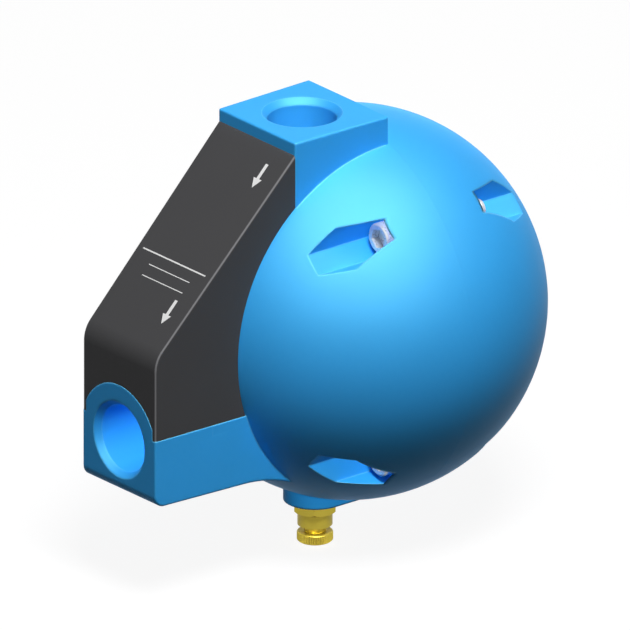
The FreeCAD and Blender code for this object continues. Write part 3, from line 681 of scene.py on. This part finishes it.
class VALVE_OT_fasteners(ValveStep):
    """Plates the screws, washers and nuts, and adds threads and locking rings"""

    bl_idname = "valve.fasteners"
    bl_label = "Finish the fasteners"

    def execute(self, context):
        colours = context.scene.valve_colours
        zinc = zinc_plate(tuple(colours.zinc))
        self.paint(zinc, "zinc_steel", "clamp_screws", "clamp_washers", "clamp_nuts")
        nut_end = node_box("clamp_nuts")[1][0]
        screw_end = node_box("clamp_screws")[1][0]
        start, end = nut_end + 0.1 * MM, screw_end - 0.15 * MM
        ring_x = nut_end - RING_SUNK
        threads = []
        rings = []
        for y, z in screw_axes():
            threads.append(thread(start, end, y, z, SCREW_R, SCREW_PITCH, THREAD_DEPTH))
            rings.append(lock_ring(ring_x, y, z, RING_INNER_R, RING_OUTER_R, RING_HEIGHT))
        made = mesh_object("screw_threads", *joined(threads), zinc)
        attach(made, "housing")
        nylon = ring_nylon(tuple(colours.nylon))
        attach(mesh_object("lock_rings", *joined(rings), nylon), "housing")
        return {"FINISHED"}


class VALVE_OT_drain(ValveStep):
    """Gives the drain, the seat and the disc holder their brass"""

    bl_idname = "valve.drain"
    bl_label = "Finish the brass"

    def execute(self, context):
        finish = turned_brass(tuple(context.scene.valve_colours.brass))
        self.paint(
            finish, "yellow_brass",
            "drain_valve_body", "drain_spindle", "drain_knob", "valve_seat", "poppet_holder",
        )
        return {"FINISHED"}


class VALVE_OT_works(ValveStep):
    """Gives the float, its lever and bracket, the strainer and the seals their finish"""

    bl_idname = "valve.works"
    bl_label = "Finish the works inside"

    def execute(self, context):
        colours = context.scene.valve_colours
        self.paint(
            drawn_stainless(tuple(colours.stainless)), "stainless",
            "inlet_strainer", "strainer_ring", "lever_bracket", "bracket_screws", "pivot_pin",
            "pin_clips", "float_lever", "float_shell_near", "float_shell_far", "float_stud",
            "float_nut",
        )
        self.paint(
            seal_rubber(tuple(colours.rubber)), "black_rubber",
            "joint_o_ring", "spindle_o_ring", "seat_gasket", "poppet_seal",
        )
        return {"FINISHED"}


class VALVE_OT_studio(bpy.types.Operator):
    """Sets up the floor, the lights, the surroundings and the camera"""

    bl_idname = "valve.studio"
    bl_label = "Set up the studio"
    bl_options = {"REGISTER", "UNDO"}

    def execute(self, context):
        studio = context.scene.valve_studio
        axes = view_axes(studio)
        place_camera(context.scene, studio, axes)
        floor = lay_floor()
        light_world(context.scene, studio.ambient)
        light_valve(studio, axes, floor)
        context.scene.view_settings.view_transform = "Standard"
        return {"FINISHED"}


def view_axes(studio):
    """Directions to the right, up and back towards the viewer for the angles of view."""
    turn = math.radians(studio.azimuth)
    rise = math.radians(studio.elevation)
    right = np.array([math.cos(turn), math.sin(turn), 0.0])
    back = np.array([
        math.cos(rise) * math.sin(turn), -math.cos(rise) * math.cos(turn), math.sin(rise)
    ])
    return right, np.cross(back, right), back


def turned_to(axes, place):
    """4x4 transform with these three axes as columns and this place."""
    matrix = np.eye(4)
    matrix[:3, :3] = np.stack(axes, axis=1)
    matrix[:3, 3] = place
    return Matrix(matrix.tolist())


def place_camera(scene, studio, axes):
    """Parallel camera of a square picture, with the ball where it is seen."""
    right, up, back = axes
    lens = bpy.data.cameras.new("camera")
    lens.type = "ORTHO"
    lens.ortho_scale = PICTURE * studio.pixel
    lens.clip_end = 10.0
    camera = bpy.data.objects.new("camera", lens)
    scene.collection.objects.link(camera)
    aside = (BALL_PIXEL[0] - PICTURE / 2) * studio.pixel
    raised = (PICTURE / 2 - BALL_PIXEL[1]) * studio.pixel
    aim = BALL_CENTRE - right * aside - up * raised
    camera.matrix_world = turned_to(axes, aim + back * CAMERA_DISTANCE)
    scene.camera = camera


def lay_floor():
    """Wide round floor. Where it is seen it looks white and keeps a soft shadow. It sends
    hardly any light back up, so the valve's underside stays dark."""
    finish = Finish("floor")
    paper = finish.node("ShaderNodeBsdfDiffuse", {"Color": (0.12, 0.12, 0.12, 1.0)})
    glow = finish.node("ShaderNodeEmission", {"Color": (1.0, 1.0, 1.0, 1.0), "Strength": 0.92})
    dim = finish.node("ShaderNodeBsdfDiffuse", {"Color": (0.02, 0.02, 0.02, 1.0)})
    seen = finish.node("ShaderNodeAddShader", {0: paper, 1: glow})
    shown = finish.node("ShaderNodeMixShader", {0: seen_directly(finish), 1: dim, 2: seen})
    out = finish.tree.nodes["Material Output"]
    finish.tree.links.new(shown.socket, out.inputs["Surface"])
    rim = np.linspace(0, 2 * math.pi, 64, endpoint=False)
    height = np.full(len(rim), FLOOR_Z)
    points = np.stack([FLOOR_R * np.cos(rim), FLOOR_R * np.sin(rim), height], axis=-1)
    floor = mesh_object("floor", points, [tuple(range(len(rim)))], finish.material, smooth=False)
    return floor


def light_world(scene, ambient):
    """White where it is seen or mirrored, and a low even light on everything else."""
    world = bpy.data.worlds.new("studio")
    world.use_nodes = True
    scene.world = world
    tree = world.node_tree
    background = tree.nodes["Background"]
    rays = tree.nodes.new("ShaderNodeLightPath")
    total, *others = [rays.outputs[f"Is {kind} Ray"] for kind in SEEING_RAYS]
    for ray in others:
        either = tree.nodes.new("ShaderNodeMath")
        either.operation = "MAXIMUM"
        tree.links.new(total, either.inputs[0])
        tree.links.new(ray, either.inputs[1])
        total = either.outputs[0]
    strength = tree.nodes.new("ShaderNodeMapRange")
    strength.inputs["To Min"].default_value = ambient
    strength.inputs["To Max"].default_value = 1.0
    tree.links.new(total, strength.inputs["Value"])
    tree.links.new(strength.outputs[0], background.inputs["Strength"])
    background.inputs["Color"].default_value = (1.0, 1.0, 1.0, 1.0)


def light_valve(studio, axes, floor):
    """The main light throws no shadow of the outer pieces, so the pockets and ports are as
    bright as the open faces, and a twin of it lights the floor, with the whole valve's
    shadow. The rear light serves views from behind. The sheen light is seen only as a broad
    gloss on the coated castings and the knob."""
    castings = [NODES["body_casting"], NODES["ball_cover"]]
    outer = castings + [NODES["label_cover"]]
    all_but_floor = light_group("all but the floor", [floor], "EXCLUDE")
    main = add_lamp("main light", FROM_ABOVE, MAIN_SIZE, MAIN_POWER * studio.key, axes)
    main.light_linking.receiver_collection = all_but_floor
    main.light_linking.blocker_collection = light_group("shadowless", outer, "EXCLUDE")
    rear = add_lamp("rear light", FROM_BEHIND, REAR_SIZE, REAR_POWER * studio.key, axes)
    rear.light_linking.receiver_collection = all_but_floor
    rear.visible_glossy = False
    under = add_lamp("floor light", FROM_ABOVE, MAIN_SIZE, MAIN_POWER * studio.key, axes)
    under.light_linking.receiver_collection = light_group("only the floor", [floor])
    sheen = add_lamp("sheen light", FROM_ABOVE, SHEEN_SIZE, SHEEN_POWER * studio.key, axes)
    sheen.visible_diffuse = False
    sheen.light_linking.receiver_collection = light_group(
        "in the sheen", castings + [NODES["drain_knob"]]
    )


def add_lamp(name, direction, size, power, axes):
    """Square soft lamp that looks at the ball from a direction given as right, up and back."""
    lamp = bpy.data.lights.new(name, "AREA")
    lamp.size = size
    lamp.energy = power
    towards = direction[0] * axes[0] + direction[1] * axes[1] + direction[2] * axes[2]
    towards /= np.linalg.norm(towards)
    side = np.cross((0.0, 0.0, 1.0), towards)
    side /= np.linalg.norm(side)
    made = bpy.data.objects.new(name, lamp)
    bpy.context.scene.collection.objects.link(made)
    place = BALL_CENTRE + towards * LAMP_DISTANCE
    made.matrix_world = turned_to((side, np.cross(towards, side), towards), place)
    return made


def light_group(name, objects, state="INCLUDE"):
    """Group of the only objects that a lamp heeds, or of those that it leaves out."""
    group = bpy.data.collections.new(name)
    for thing in objects:
        group.objects.link(thing)
    for entry in group.collection_objects:
        entry.light_linking.link_state = state
    return group


class VALVE_PT_panel(bpy.types.Panel):
    """Lists the settings and the steps in the sidebar"""

    bl_idname = "VALVE_PT_panel"
    bl_label = "Drain valve"
    bl_space_type = "VIEW_3D"
    bl_region_type = "UI"
    bl_category = "Drain valve"

    def draw(self, context):
        for group in (
            context.scene.valve_colours, context.scene.valve_marks, context.scene.valve_studio
        ):
            column = self.layout.column(align=True)
            for name in group.__annotations__:
                column.prop(group, name)
        for step in STEPS:
            self.layout.operator(step.bl_idname)


STEPS = (
    VALVE_OT_castings,
    VALVE_OT_cover,
    VALVE_OT_marks,
    VALVE_OT_fasteners,
    VALVE_OT_drain,
    VALVE_OT_works,
    VALVE_OT_studio,
)
GROUPS = {
    "valve_colours": ValveColours,
    "valve_marks": ValveMarks,
    "valve_studio": ValveStudio,
}


def register():
    for name, group in GROUPS.items():
        bpy.utils.register_class(group)
        setattr(bpy.types.Scene, name, bpy.props.PointerProperty(type=group))
    for step in STEPS:
        bpy.utils.register_class(step)
    bpy.utils.register_class(VALVE_PT_panel)


def unregister():
    bpy.utils.unregister_class(VALVE_PT_panel)
    for step in reversed(STEPS):
        bpy.utils.unregister_class(step)
    for name, group in GROUPS.items():
        delattr(bpy.types.Scene, name)
        bpy.utils.unregister_class(group)


def main():
    register()
    for step in STEPS:
        family, name = step.bl_idname.split(".")
        getattr(getattr(bpy.ops, family), name)()
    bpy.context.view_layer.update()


if __name__ == "__main__":
    main()
